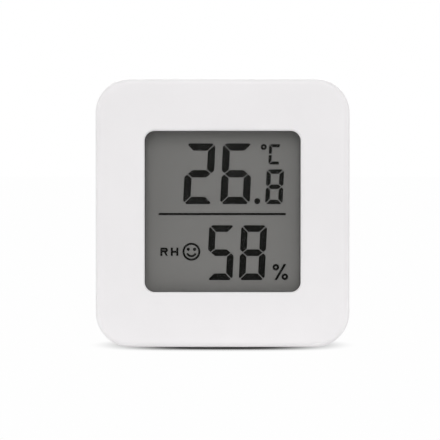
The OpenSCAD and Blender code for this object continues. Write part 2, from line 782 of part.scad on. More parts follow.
// Letter of the temperature unit: two mirrored halves, each a blunt-ended bar and a post
module unit_letter() {
    gap = segment_gap / 2;
    cut = segment_cut * unit_stroke;
    end = (unit_h + unit_gap) / 2;
    bar = [[gap + cut, unit_h], [unit_w, unit_h], [unit_w - cut / 2, unit_h - unit_stroke],
        [gap + unit_stroke, unit_h - unit_stroke], [gap + cut / 2, unit_h - cut / 2]];
    post = [[0, unit_h - gap - cut], [cut / 2, unit_h - gap - cut / 2],
        [unit_stroke, unit_h - gap - unit_stroke], [unit_stroke, end], [0, end]];
    for (flip = [false, true]) {
        segment(bar, unit_w, unit_h, false, flip);
        segment(post, unit_w, unit_h, false, flip);
    }
}

module temperature_reading() {
    figures = [floor(temperature_shown / 100), floor(temperature_shown / 10) % 10];
    for (i = [0, 1])
        translate(temperature_at + [i * temperature_pitch, 0])
            figure_segments(LIT[figures[i]], temperature_w, temperature_h, temperature_stroke);
    translate(tenths_at) figure_segments(LIT[temperature_shown % 10], tenths_w, tenths_h, tenths_stroke);
    translate(point_at) circle(point_r);
    translate(degree_at) ring(degree_r, fine_stroke);
    translate(unit_at) unit_letter();
}

module percent_sign() {
    half = [0.6 * percent_stroke, 0];
    tip = percent_stroke_at;
    for (end = [-1, 1])
        translate(end * percent_ring_at) ring(percent_r, percent_stroke);
    polygon([tip - half, tip + half, half - tip, -half - tip]);
}

module humidity_reading() {
    figures = [floor(humidity_shown / 10), humidity_shown % 10];
    for (i = [0, 1])
        translate(humidity_at + [i * humidity_pitch, 0])
            figure_segments(LIT[figures[i]], humidity_w, humidity_h, humidity_stroke);
    translate(percent_at) percent_sign();
}

// Plain comfort face: a ring, two eyes and a mouth that is an arc round the same middle
module comfort_face() {
    wide = 2 * mouth_r;
    ring(face_r, fine_stroke);
    for (side = [-1, 1])
        translate([side * eye_at[0], eye_at[1]]) circle(eye_r);
    intersection() {
        ring(mouth_r, fine_stroke);
        polygon([[0, 0], wide * [-cos(mouth_end), -sin(mouth_end)], wide * [0, -1],
            wide * [cos(mouth_end), -sin(mouth_end)]]);
    }
}

// Two upright letters for relative humidity
module humidity_legend() {
    bowl_r = bowl_h / 2;
    bowl_x = legend_w - bowl_r;
    leg_z = legend_h - bowl_h + fine_stroke / 2;
    square([fine_stroke, legend_h]);
    for (z = [legend_h - fine_stroke, legend_h - bowl_h])
        translate([0, z]) square([bowl_x, fine_stroke]);
    intersection() {
        translate([bowl_x, legend_h - bowl_r]) ring(bowl_r, fine_stroke);
        translate([bowl_x, 0]) square([bowl_r, legend_h]);
    }
    polygon([[bowl_x - fine_stroke, leg_z], [bowl_x, leg_z], [legend_w, 0], [legend_w - fine_stroke, 0]]);
    translate([legend_pitch, 0]) {
        square([fine_stroke, legend_h]);
        translate([legend_w - fine_stroke, 0]) square([fine_stroke, legend_h]);
        translate([0, (legend_h - fine_stroke) / 2]) square([legend_w, fine_stroke]);
    }
}

module lcd_segments()
    color("#1f1f1d") slab(layer_front, layer_back) translate([0, window_z]) {
        temperature_reading();
        humidity_reading();
        translate(divider_at) square([divider_l, divider_t], center = true);
        translate(face_at) comfort_face();
        translate(legend_at) humidity_legend();
    }

module lcd_seal()
    color("#b9b7ae") slab(layer_front, layer_back) translate([0, window_z])
        difference() {
            square([glass_w, rear_glass_h], center = true);
            square([glass_w - 2 * seal_w, rear_glass_h - 2 * seal_w], center = true);
        }

module lcd_rear_glass()
    color("#c9d2cf", 0.4) slab(layer_back, rear_glass_back) translate([0, window_z])
        square([glass_w, rear_glass_h], center = true);

module lcd_reflector()
    color("#6c6c69") slab(rear_glass_back, lcd_back) translate([0, window_z])
        square([glass_w - 2 * film_inset, rear_glass_h - 2 * film_inset], center = true);

module lcd_frame() {
    frame_w = glass_w + 2 * (snug + frame_wall);
    frame_h = front_glass_h + 2 * (snug + frame_wall);
    strip_low = strip_z - strip_w / 2 - snug;
    color("#e4e2dc") difference() {
        slab(lens_back, board_front) translate([0, front_glass_z]) square([frame_w, frame_h], center = true);
        slab(lens_back - over, layer_front) translate([0, front_glass_z])
            square([glass_w + 2 * snug, front_glass_h + 2 * snug], center = true);
        slab(layer_front - over, lcd_back) translate([0, window_z])
            square([glass_w + 2 * snug, rear_glass_h + 2 * snug], center = true);
        slab(lcd_back - over, board_front + over) translate([0, window_z])
            square([glass_w - 2 * frame_ledge, rear_glass_h - 2 * frame_ledge], center = true);
        slab(layer_front - over, board_front + over)
            translate([-strip_l / 2 - snug, strip_low]) square([strip_l + 2 * snug, strip_w + 2 * snug]);
    }
}

module zebra_strip()
    color("#4a4a4c") slab(layer_front, board_front) translate([0, strip_z])
        square([strip_l, strip_w], center = true);

module circuit_board()
    color("#2f6b3f") slab(board_front, board_back) difference() {
        inside(board_gap);
        for (place = screw_points)
            translate(place) circle(boss_r + board_gap);
        for (place = board_screw_points)
            translate(place) circle(board_screw_d / 2 + snug);
    }

// Resin drop: a spherical cap on the front of the board
module chip_blob() {
    cap_r = (blob_r * blob_r + blob_h * blob_h) / (2 * blob_h);
    color("#141414") intersection() {
        translate([0, at(board_front) - blob_h + cap_r, window_z]) sphere(r = cap_r, $fn = 144);
        rod([0, window_z], board_front - blob_h - over, board_front, blob_r + over);
    }
}

module radio_module()
    color("#1f4f7a") slab(board_back, board_back + module_t) translate([module_x, module_z])
        square([module_w, module_h], center = true);

// Drawn can over the radio chip, clear of the antenna's end
module radio_shield()
    color("#c7c9cb") slab(board_back + module_t, board_back + module_t + shield_t)
        translate([module_x - module_w / 2 + shield_inset, module_z - module_h / 2 + shield_inset])
            square([module_w - 2 * shield_inset, module_h - antenna_l - shield_inset]);

module chip_parts()
    color("#8a7a62") for (i = [0:chip_count - 1])
        slab(board_back, board_back + chip_size[2])
            translate([board_half - chip_at[0] - i * chip_pitch, board_low + chip_at[1]])
                square([chip_size[0], chip_size[1]], center = true);

// Can lying on the board, with two leads that turn down into it
module crystal() {
    mid = board_back + crystal_d / 2;
    x = crystal_at[0] - board_half;
    z = board_low + crystal_at[1];
    lead_x = x + crystal_l / 2;
    color("#c4c6c8") {
        translate([x, at(mid), z]) rotate([0, 90, 0])
            cylinder(h = crystal_l, d = crystal_d, center = true);
        for (side = [-1, 1]) {
            lead_z = z + side * lead_pitch / 2;
            translate([lead_x - lead_d, at(mid), lead_z]) rotate([0, 90, 0])
                cylinder(h = 3 * lead_d, d = lead_d);
            rod([lead_x + 2 * lead_d, lead_z], board_back, mid + lead_d / 2, lead_d / 2);
        }
    }
}

// Housing with a row of slots through its cover that let the air in
module humidity_sensor() {
    sensor_back = board_back + sensor_t;
    color("#f0efe9") difference() {
        slab(board_back, sensor_back) translate(sensor_at) square([sensor_w, sensor_h], center = true);
        slab(board_back + sensor_wall, sensor_back - sensor_wall) translate(sensor_at)
            square([sensor_w - 2 * sensor_wall, sensor_h - 2 * sensor_wall], center = true);
        for (i = [-1:1])
            slab(sensor_back - sensor_wall - snug, sensor_back + over)
                translate(sensor_at + [i * sensor_w / 4, 0])
                    slot(sensor_slot_w, sensor_h - 3 * sensor_wall);
    }
}

// Glass bead on two straight leads that stand on the board
module thermistor() {
    bead_depth = board_back + bead_rise;
    color("#9a4a2c") {
        translate([bead_at[0], at(bead_depth), bead_at[1]]) sphere(d = bead_d);
        for (side = [-1, 1])
            rod(bead_at + [0, side * lead_pitch / 2], board_back, bead_depth, lead_d / 2);
    }
}

module tact_switch()
    color("#26272a") difference() {
        slab(board_back, switch_top) translate(button_at) square(switch_w, center = true);
        rod(button_at, switch_top - plunger_depth - button_travel - snug, switch_top + over,
            plunger_r + run_fit);
    }

module switch_plunger()
    color("#5b5c60") rod(button_at, switch_top - plunger_depth, plunger_top, plunger_r);

// Cap with a softened rim, a flange that stops it behind the wall and a stem to the switch
module set_button()
    color("#dcdadb") translate([button_at[0], at(plunger_top), button_at[1]]) rotate([-90, 0, 0]) {
        flange_low = button_flange_back - button_flange_t - plunger_top;
        cap_top = button_back - plunger_top;
        cylinder(h = flange_low, r = stem_r);
        translate([0, 0, flange_low]) cylinder(h = button_flange_t, r = button_r + button_reach);
        translate([0, 0, flange_low + button_flange_t])
            cylinder(h = cap_top - button_edge - flange_low - button_flange_t, r = button_r);
        translate([0, 0, cap_top - button_edge])
            cylinder(h = button_edge, r1 = button_r, r2 = button_r - button_edge);
    }

// Strip soldered flat on the board, bent up to press on the cell's smaller pole
module negative_contact() {
    low = at(board_back);
    high = at(cell_front) - contact_t;
    bend = contact_foot + contact_ramp;
    color("#c9c4b4") translate([-contact_w / 2, 0, cell_z - contact_l / 2])
        rotate([90, 0, 90]) linear_extrude(contact_w)
            polygon([[low, 0], [low + contact_t, 0], [low + contact_t, contact_foot],
                [high + contact_t, bend], [high + contact_t, contact_l], [high, contact_l],
                [high, bend], [low, contact_foot]]);
}

// Angle that stands beside the cell and touches the rim of its can
module positive_contact() {
    near = cell_z + cell_d / 2 + snug;
    color("#c9c4b4") {
        slab(board_back, board_back + contact_t) translate([-contact_w / 2, near])
            square([contact_w, tab_foot]);
        slab(board_back, tab_back) translate([-contact_w / 2, near]) square([contact_w, contact_t]);
    }
}

// Can with a rounded rim; its smaller pole faces the board
module coin_cell() {
    can_r = cell_d / 2;
    color("#b9bbbd") cover_frame(cell_front) rotate_extrude() {
        square([can_r - pole_step, pole_h]);
        translate([0, pole_h]) rim_section(can_r, cell_t - pole_h, can_edge_r);
    }
}

module keyhole_outline(margin) {
    translate([0, keyhole_z]) circle(keyhole_r + margin);
    translate([0, slot_z]) circle(keyhole_slot_w / 2 + margin);
    translate([-keyhole_slot_w / 2 - margin, keyhole_z]) square([keyhole_slot_w + 2 * margin, keyhole_rise]);
}

// Room behind the keyhole, wide enough for the screw head all the way up
module keyhole_pocket(margin) {
    half = pocket_half + margin;
    translate([-half, keyhole_z - half]) square([2 * half, keyhole_rise + 2 * half]);
}

// Solid parts of the rear shell, before its openings are cut
module rear_case_body() {
    difference() {
        union() {
            translate([0, at(rear_from), case_h / 2]) rotate([-90, 0, 0])
                swept(case_w, case_h, corner_r, 0, case_d - rear_from)
                    rim_section(corner_r, case_d - rear_from, back_edge_r);
            slab(front_shell_d - tongue_h, rear_from + over) inside(-tongue_t);
            snap_beads(0);
        }
        slab(front_shell_d - tongue_h - over, back_inner) inside(0);
        for (place = screw_points)
            rod(place, front_shell_d - tongue_h - over, front_shell_d, boss_r + tongue_fit);
    }
    rod([0, cell_z], board_back + snug, case_d - flange_t, cup_r);
    slab(channel_front - channel_wall, back_inner + snug) intersection() {
        stand_outline(stand_fit + channel_wall, channel_top + channel_wall);
        inside(-snug);
    }
    for (side = [-1, 1]) {
        cheek_x = side * (channel_out + cheek_t / 2);
        slab(channel_front - channel_wall, back_inner + snug) translate([cheek_x, stand_pivot_z])
            square([cheek_t, 2 * cheek_r], center = true);
    }
    slab(pocket_front - keyhole_wall, back_inner + snug) intersection() {
        keyhole_pocket(keyhole_wall);
        inside(-snug);
    }
    for (place = screw_points)
        rod(place, front_shell_d, back_inner + snug, boss_r);
}

// Battery opening: cup, lug groove, shelf hole with its notches, and the cover's recess
module battery_opening() {
    rod([0, cell_z], board_back - over, groove_front, cup_bore_r);
    rod([0, cell_z], groove_front, shelf_front, groove_r);
    rod([0, cell_z], shelf_front - snug, shelf_back + snug, cup_bore_r);
    rod([0, cell_z], shelf_back, case_d + over, recess_r);
    for (angle = lug_angles)
        cover_frame(shelf_front - snug)
            sector(cup_bore_r - over, notch_r, shelf_t + 2 * snug, angle + cover_twist, notch_angle);
    slab(board_back - over, tab_back + run_fit) translate([-contact_w / 2 - run_fit, cell_z])
        square([contact_w + 2 * run_fit, cup_r + over]);
    lip([0, cell_z], recess_r);
    for (angle = [0, cover_twist])
        mark(recess_r + mark_inset, angle, case_d);
}

module rear_case()
    color("#e9e7e8") difference() {
        rear_case_body();
        battery_opening();
        slab(channel_front, case_d + over) stand_outline(stand_fit, channel_top);
        for (side = [-1, 1])
            translate([side * (channel_out - over), at(stand_mid), stand_pivot_z]) rotate([0, side * 90, 0])
                cylinder(h = over + pin_l, r = pin_r + pin_fit);
        slab(case_d - notch_d, case_d + over) translate([-notch_w / 2, -over])
            square([notch_w, over + stand_foot_z]);
        slab(back_inner - over, case_d + over) keyhole_outline(0);
        slab(pocket_front, back_inner) keyhole_pocket(0);
        rod(button_at, back_inner - over, case_d + over, button_r + run_fit);
        lip(button_at, button_r + run_fit);
        for (i = [0:vent_count - 1])
            slab(back_inner - over, case_d + over)
                translate(vent_at + [(i - (vent_count - 1) / 2) * vent_pitch, 0]) slot(vent_w, vent_l);
        for (place = screw_points) {
            rod(place, front_shell_d - over, case_d + over, case_screw_d / 2 + snug);
            rod(place, case_seat, case_d + over, case_head_d / 2 + head_fit);
            lip(place, case_head_d / 2 + head_fit);
        }
    }

module battery_cover()
    color("#e9e7e8") difference() {
        union() {
            rod([0, cell_z], flange_front, cover_back - cover_edge, flange_r);
            cover_frame(cover_back - cover_edge)
                cylinder(h = cover_edge, r1 = flange_r, r2 = flange_r - cover_edge);
            rod([0, cell_z], cover_front, flange_front, plug_r);
            for (angle = lug_angles)
                cover_frame(cover_front) sector(plug_r - over, lug_r, lug_t, angle, lug_angle);
        }
        mark(flange_r - mark_inset, 0, cover_back);
        slab(cover_back - coin_slot_d, cover_back + over) translate([0, cell_z])
            rotate(90) slot(coin_slot_w, coin_slot_l);
    }

// Half-space that the stand's heel keeps out of, so that it stops flat on the channel's floor
module heel_stop() {
    size = 2 * (stand_out + stand_t);
    translate([0, at(stand_mid), stand_pivot_z]) rotate([-stand_open, 0, 0])
        translate([-size / 2, -stop_reach - size, -size / 2]) cube(size);
}

// U-shaped bar with rounded outer edges, whose legs carry the pivot pins
module stand() {
    long = 2 * (stand_top - stand_foot_z);
    inner_low = stand_foot_z + stand_bar_h;
    color("#e3e1e2") {
        difference() {
            translate([0, at(stand_back - stand_t), stand_foot_z + long / 2]) rotate([-90, 0, 0])
                swept(2 * stand_out, long, stand_corner_r, 0, stand_t)
                    rim_section(stand_corner_r, stand_t, stand_edge_r);
            translate([0, at(stand_back - stand_edge_r), inner_low + long / 2]) rotate([-90, 0, 0])
                swept(2 * stand_in, long, stand_inner_r, -stand_t - over, stand_edge_r + over)
                    window_section(stand_inner_r, stand_t + over, stand_edge_r);
            slab(stand_back - stand_t - over, stand_back + over) translate([-stand_out - over, stand_top])
                square([2 * (stand_out + over), long]);
            heel_stop();
        }
        for (side = [-1, 1])
            translate([side * (stand_out - over), at(stand_mid), stand_pivot_z]) rotate([0, side * 90, 0])
                cylinder(h = pin_l + over, r = pin_r);
    }
}

// Pan-head screw with a crossed recess, seated at a depth with its shank towards the front
module screw(place, seat, shank_d, shank_l, head_d, head_h) {
    bit = 0.3 * head_d;
    blade = 0.12 * head_d;
    difference() {
        union() {
            rod(place, seat, seat + head_h, head_d / 2);
            rod(place, seat - shank_l, seat, shank_d / 2);
        }
        slab(seat + head_h / 2, seat + head_h + over) translate(place) {
            square([2 * bit, 2 * blade], center = true);
            square([2 * blade, 2 * bit], center = true);
        }
    }
}

module board_screws()
    color("#a9abae") for (place = board_screw_points)
        screw(place, board_back, board_screw_d, board_screw_l, board_head_d, board_head_h);

module case_screws()
    color("#a9abae") for (place = screw_points)
        screw(place, case_seat, case_screw_d, case_screw_l, case_head_d, case_head_h);

front_case();
window_tape();
window_lens();
lcd_polarizer();
lcd_front_glass();
lcd_segments();
lcd_seal();
lcd_rear_glass();
lcd_reflector();
lcd_frame();
zebra_strip();
circuit_board();
chip_blob();
radio_module();
radio_shield();
chip_parts();
crystal();
humidity_sensor();
thermistor();
tact_switch();
switch_plunger();
set_button();
negative_contact();
positive_contact();
coin_cell();
rear_case();
battery_cover();
stand();
board_screws();
case_screws();
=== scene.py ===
"""Looks of a pocket temperature and humidity sensor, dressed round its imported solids.

Everything is in metres, in the frame of the solids: +Z is up, the window faces -Y and the origin is
the middle of the foot. Sizes of new pieces are read from the solids that they stand for.
"""

import logging
import math
from dataclasses import dataclass, field
from enum import Enum

import bpy
import numpy as np
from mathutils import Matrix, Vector


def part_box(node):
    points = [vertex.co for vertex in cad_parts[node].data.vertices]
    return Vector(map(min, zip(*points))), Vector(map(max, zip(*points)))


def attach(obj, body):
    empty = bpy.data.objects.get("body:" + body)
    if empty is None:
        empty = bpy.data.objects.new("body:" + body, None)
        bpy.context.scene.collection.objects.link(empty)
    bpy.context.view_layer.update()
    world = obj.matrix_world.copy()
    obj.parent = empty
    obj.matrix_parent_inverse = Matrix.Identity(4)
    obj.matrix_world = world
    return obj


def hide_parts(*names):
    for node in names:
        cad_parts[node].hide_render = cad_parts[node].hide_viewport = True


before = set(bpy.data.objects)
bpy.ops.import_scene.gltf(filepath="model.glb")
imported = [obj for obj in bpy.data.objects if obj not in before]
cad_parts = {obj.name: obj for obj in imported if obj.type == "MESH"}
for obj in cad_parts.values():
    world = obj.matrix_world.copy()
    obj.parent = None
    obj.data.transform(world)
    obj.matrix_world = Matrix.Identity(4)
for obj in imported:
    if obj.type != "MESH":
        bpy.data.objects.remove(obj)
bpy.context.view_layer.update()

LOG = logging.getLogger("sensor")
MM = 0.001
# Body that the screws ride on
CASE_BODY = "case"
# Range that most of a cloud noise lies in
NOISE_SPAN = (0.3, 0.7)
# Finer octaves of a noise that is seen close up
FINE = 3.0
# Turn between two faces from which their edge stays sharp
SHARP_EDGE = math.radians(40)
RGB = tuple[float, float, float]
# Materials made so far, by name
MIXED: dict[str, bpy.types.Material] = {}


class Lay(Enum):
    """Direction that the lines of a drawn or rolled metal run in."""

    ALONG_X = (0.06, 1.0, 1.0)
    ALONG_Z = (1.0, 1.0, 0.06)


class Graph:
    """One material under construction: adds nodes, links them and ends in a Principled shader."""

    def __init__(self, name: str) -> None:
        """Starts an empty material.

        Args:
            name: Name of the material.
        """
        self.material = bpy.data.materials.new(name)
        self.material.use_nodes = True
        self.tree = self.material.node_tree
        self.tree.nodes.clear()
        self.place = self.add("ShaderNodeTexCoord").outputs["Object"]

    def add(self, kind: str, **settings: object) -> bpy.types.Node:
        """Adds one node.

        Args:
            kind: Blender's name of the node type.
            **settings: Properties to set on it.

        Returns:
            The new node.
        """
        node = self.tree.nodes.new(kind)
        for key, value in settings.items():
            setattr(node, key, value)
        return node

    def link(self, source: bpy.types.NodeSocket, target: bpy.types.NodeSocket) -> None:
        """Links an output to an input."""
        self.tree.links.new(source, target)

    def stretched(self, scale: RGB) -> bpy.types.NodeSocket:
        """Gives the piece's own coordinates, scaled along each axis.

        Args:
            scale: Factors along X, Y and Z; a small one draws a pattern out along that axis.

        Returns:
            The coordinates' socket.
        """
        node = self.add("ShaderNodeMapping")
        node.inputs["Scale"].default_value = scale
        self.link(self.place, node.inputs["Vector"])
        return node.outputs["Vector"]

    def noise(self, size: float, detail: float = 2.0,
              place: bpy.types.NodeSocket | None = None) -> bpy.types.NodeSocket:
        """Adds a cloud noise.

        Args:
            size: Width of one cloud, in metres.
            detail: Number of finer octaves.
            place: Coordinates, if not the piece's own.

        Returns:
            The noise's value, about 0.5 on average.
        """
        node = self.add("ShaderNodeTexNoise")
        node.inputs["Scale"].default_value = 1.0 / size
        node.inputs["Detail"].default_value = detail
        self.link(place or self.place, node.inputs["Vector"])
        return node.outputs["Fac"]

    def ramp(self, value: bpy.types.NodeSocket, low: RGB, high: RGB,
             span: tuple[float, float] = NOISE_SPAN) -> bpy.types.NodeSocket:
        """Turns a value into a colour between two colours.

        Args:
            value: The driving value.
            low: Colour up to the start of the span.
            high: Colour from its end on.
            span: Values at which the change begins and is complete.

        Returns:
            The colour's socket.
        """
        node = self.add("ShaderNodeValToRGB")
        stops = node.color_ramp.elements
        for stop, at, colour in zip(stops, span, (low, high)):
            stop.position = at
            stop.color = (*colour, 1.0)
        self.link(value, node.inputs["Fac"])
        return node.outputs["Color"]

    def span(self, value: bpy.types.NodeSocket, low: float, high: float) -> bpy.types.NodeSocket:
        """Maps a noise value onto a range of numbers.

        Args:
            value: The driving value; the span of a noise covers the range.
            low: Number at the low end.
            high: Number at the high end.

        Returns:
            The number's socket.
        """
        node = self.add("ShaderNodeMapRange")
        for key, number in zip(("From Min", "From Max", "To Min", "To Max"), (*NOISE_SPAN, low, high)):
            node.inputs[key].default_value = number
        self.link(value, node.inputs["Value"])
        return node.outputs["Result"]

    def step(self, value: bpy.types.NodeSocket, source: tuple[float, float],
             target: tuple[float, float]) -> bpy.types.NodeSocket:
        """Maps a value from one range onto another along a smooth step.

        Args:
            value: The driving value.
            source: The value's low and high end.
            target: The numbers at those ends.

        Returns:
            The number's socket.
        """
        node = self.add("ShaderNodeMapRange", interpolation_type="SMOOTHSTEP")
        for key, number in zip(("From Min", "From Max", "To Min", "To Max"), source + target):
            node.inputs[key].default_value = number
        self.link(value, node.inputs["Value"])
        return node.outputs["Result"]

    def relief(self, height: bpy.types.NodeSocket, depth: float) -> bpy.types.NodeSocket:
        """Turns a height into a bumped normal.

        Args:
            height: The height, 0 to 1.
            depth: What a height of 1 measures, in metres.

        Returns:
            The normal's socket.
        """
        node = self.add("ShaderNodeBump")
        node.inputs["Distance"].default_value = depth
        self.link(height, node.inputs["Height"])
        return node.outputs["Normal"]

    def principled(self, **sockets: object) -> None:
        """Ends the material in a Principled shader.

        Args:
            **sockets: Socket names, with underscores for spaces, and a number, colour or socket for each.
        """
        shader = self.add("ShaderNodeBsdfPrincipled")
        for key, value in sockets.items():
            target = shader.inputs[key.replace("_", " ")]
            if isinstance(value, bpy.types.NodeSocket):
                self.link(value, target)
            else:
                target.default_value = (*value, 1.0) if isinstance(value, tuple) else value
        self.finish(shader.outputs["BSDF"])

    def finish(self, surface: bpy.types.NodeSocket) -> None:
        """Makes a shader the material's surface."""
        self.link(surface, self.add("ShaderNodeOutputMaterial").inputs["Surface"])


def shade(colour: RGB, factor: float) -> RGB:
    """Gives a colour multiplied by a factor."""
    return tuple(min(1.0, channel * factor) for channel in colour)


@dataclass(frozen=True)
class Finish:
    """What every finish has.

    Attributes:
        name: Name of its material.
        colour: Colour in linear light.
        roughness: Roughness of the surface.
    """

    name: str
    colour: RGB
    roughness: float

    def material(self) -> bpy.types.Material:
        """Gives the finish's material, made on first use."""
        if self.name not in MIXED:
            graph = Graph(self.name)
            self.paint(graph)
            MIXED[self.name] = graph.material
        return MIXED[self.name]

    def paint(self, graph: Graph) -> None:
        """Builds the finish's nodes; each kind of finish has its own."""
        raise NotImplementedError


@dataclass(frozen=True)
class MouldedPlastic(Finish):
    """Injection-moulded plastic: fine spark-eroded pits, a slow drift of tone and of gloss.

    Attributes:
        pit: Width of one pit.
        depth: Depth of the pits.
        drift: Share by which the tone drifts over the part.
        cloud: Width over which it drifts.
        spread: How far the roughness swings to either side.
        specular: Strength of the mirrored light.
    """

    pit: float = 0.16 * MM
    depth: float = 0.005 * MM
    drift: float = 0.012
    cloud: float = 9 * MM
    spread: float = 0.05
    specular: float = 0.4

    def paint(self, graph: Graph) -> None:
        """Builds the pits, the drift and the shader."""
        slow = graph.noise(self.cloud, FINE)
        pits = graph.noise(self.pit, FINE)
        graph.principled(
            Base_Color=graph.ramp(slow, shade(self.colour, 1 - self.drift),
                                  shade(self.colour, 1 + self.drift)),
            Roughness=graph.span(pits, self.roughness - self.spread, self.roughness + self.spread),
            Specular_IOR_Level=self.specular,
            Normal=graph.relief(pits, self.depth),
        )


@dataclass(frozen=True)
class ClearSheet(Finish):
    """Clear film or glass inside the readout: almost no colour of its own, faint streaks in its gloss.

    Attributes:
        cover: Share of the view that the sheet's own colour takes.
        streak: Width of one streak.
        dim: Tone of the darkest streak.
        spread: How much rougher the dullest streak is.
    """

    cover: float = 0.03
    streak: float = 1.5 * MM
    dim: float = 0.9
    spread: float = 0.06

    def paint(self, graph: Graph) -> None:
        """Builds the streaks and the see-through shader."""
        streaks = graph.noise(self.streak, FINE)
        graph.principled(
            Base_Color=graph.ramp(streaks, shade(self.colour, self.dim), self.colour),
            Roughness=graph.span(streaks, self.roughness, self.roughness + self.spread),
            Alpha=self.cover,
        )


@dataclass(frozen=True)
class CoatedLens(Finish):
    """Clear window sheet with a coat against glare: see-through straight on, glossy at a slant.

    Attributes:
        glare: Share of the light that each face of the sheet mirrors straight on.
        fall: Power of the slant by which the mirrored share grows.
        streak: Width of one polishing streak.
        lay: Factors that draw the streaks out.
        spread: How much rougher the dullest streak is.
    """

    glare: float = 0.002
    fall: float = 5.0
    streak: float = 2.5 * MM
    lay: RGB = (0.3, 1.0, 1.0)
    spread: float = 0.05

    def paint(self, graph: Graph) -> None:
        """Builds the polishing streaks, the mirror and the clear body, mixed by the slant of sight.

        The mirrored share is the glare plus a power of the slant, which is 0 straight on and 1 along the
        face.
        """
        streaks = graph.noise(self.streak, FINE, graph.stretched(self.lay))
        mirror = graph.add("ShaderNodeBsdfGlossy")
        mirror.inputs["Color"].default_value = (*self.colour, 1.0)
        dull = graph.span(streaks, self.roughness, self.roughness + self.spread)
        graph.link(dull, mirror.inputs["Roughness"])
        slant = graph.add("ShaderNodeLayerWeight")
        slant.inputs["Blend"].default_value = 0.5
        share = graph.add("ShaderNodeMath", operation="POWER")
        graph.link(slant.outputs["Facing"], share.inputs[0])
        share.inputs[1].default_value = self.fall
        total = graph.add("ShaderNodeMath", operation="ADD")
        graph.link(share.outputs["Value"], total.inputs[0])
        total.inputs[1].default_value = self.glare
        both = graph.add("ShaderNodeMixShader")
        graph.link(total.outputs["Value"], both.inputs["Fac"])
        graph.link(graph.add("ShaderNodeBsdfTransparent").outputs["BSDF"], both.inputs[1])
        graph.link(mirror.outputs["BSDF"], both.inputs[2])
        graph.finish(both.outputs["Shader"])


@dataclass(frozen=True)
class ReadoutGround(Finish):
    """Grey ground of the readout: a brushed reflector seen through glass, with a fine sparkle and, where
    set, painted light towards its lower edge.

    Attributes:
        grain: Width of one grain of the reflector.
        contrast: Share by which the grains differ in tone.
        painted_lift: Share by which the ground is painted paler towards its lower edge, painted light that
            makes up for the shade that the window's lower lip and tape cast there.
        painted_lift_span: Heights over the foot between which that painted light fades out upwards.
        lay: Factors that draw the grains out.
        cloud: Width over which the gloss drifts.
        spread: How much rougher the dullest place is.
        specular: Strength of the mirrored light.
    """

    grain: float = 0.12 * MM
    contrast: float = 0.035
    painted_lift: float = 0.0
    painted_lift_span: tuple[float, float] = (9 * MM, 26 * MM)
    lay: RGB = (0.35, 1.0, 1.0)
    cloud: float = 5 * MM
    spread: float = 0.1
    specular: float = 0.1

    def paint(self, graph: Graph) -> None:
        """Builds the grains, the painted light that makes the lower edge paler, a slow cloudiness and the
        shader.
        """
        grains = graph.noise(self.grain, 1.0, graph.stretched(self.lay))
        tone = graph.ramp(grains, shade(self.colour, 1 - self.contrast),
                          shade(self.colour, 1 + self.contrast))
        height = graph.add("ShaderNodeSeparateXYZ")
        graph.link(graph.place, height.inputs["Vector"])
        # Painted light: the tone is raised towards the foot to offset the shade that the recess throws on
        # the lower edge.
        factor = graph.step(height.outputs["Z"], self.painted_lift_span, (1 + self.painted_lift, 1.0))
        pale = graph.add("ShaderNodeVectorMath", operation="SCALE")
        graph.link(tone, pale.inputs[0])
        graph.link(factor, pale.inputs["Scale"])
        graph.principled(
            Base_Color=pale.outputs["Vector"],
            Roughness=graph.span(graph.noise(self.cloud), self.roughness, self.roughness + self.spread),
            Specular_IOR_Level=self.specular,
        )


@dataclass(frozen=True)
class DarkSegment(Finish):
    """Switched liquid crystal: nearly black, with the faint unevenness of the cell's spacers.

    Attributes:
        spacer: Distance between spacers.
        contrast: Share by which the tone differs between them.
        spread: How much rougher the dullest place is.
        specular: Strength of the mirrored light.
    """

    spacer: float = 0.25 * MM
    contrast: float = 0.15
    spread: float = 0.1
    specular: float = 0.03

    def paint(self, graph: Graph) -> None:
        """Builds the unevenness and the shader."""
        spacers = graph.noise(self.spacer)
        graph.principled(
            Base_Color=graph.ramp(spacers, shade(self.colour, 1 - self.contrast),
                                  shade(self.colour, 1 + self.contrast)),
            Roughness=graph.span(spacers, self.roughness, self.roughness + self.spread),
            Specular_IOR_Level=self.specular,
        )


@dataclass(frozen=True)
class SolderResist(Finish):
    """Circuit board: lacquer over copper tracks, which show as paler raised lines.

    Attributes:
        track: Distance between tracks.
        wander: How far the tracks stray from a square grid.
        edge: Shares of that distance between which a track ends.
        copper: Factor by which lacquer over copper is paler.
        rise: Height of the tracks.
        weave: Width of one thread of the board's cloth.
        spread: How much rougher the dullest thread is.
    """

    track: float = 1.6 * MM
    wander: float = 0.35
    edge: tuple[float, float] = (0.08, 0.12)
    copper: float = 1.9
    rise: float = 0.03 * MM
    weave: float = 0.3 * MM
    spread: float = 0.12

    def paint(self, graph: Graph) -> None:
        """Builds the tracks as the edges of square cells, their relief and the shader."""
        cells = graph.add("ShaderNodeTexVoronoi", feature="DISTANCE_TO_EDGE")
        cells.inputs["Scale"].default_value = 1.0 / self.track
        cells.inputs["Randomness"].default_value = self.wander
        graph.link(graph.place, cells.inputs["Vector"])
        away = cells.outputs["Distance"]
        height = graph.ramp(away, (1.0, 1.0, 1.0), (0.0, 0.0, 0.0), self.edge)
        threads = graph.noise(self.weave)
        graph.principled(
            Base_Color=graph.ramp(away, shade(self.colour, self.copper), self.colour, self.edge),
            Roughness=graph.span(threads, self.roughness, self.roughness + self.spread),
            Normal=graph.relief(height, self.rise),
        )


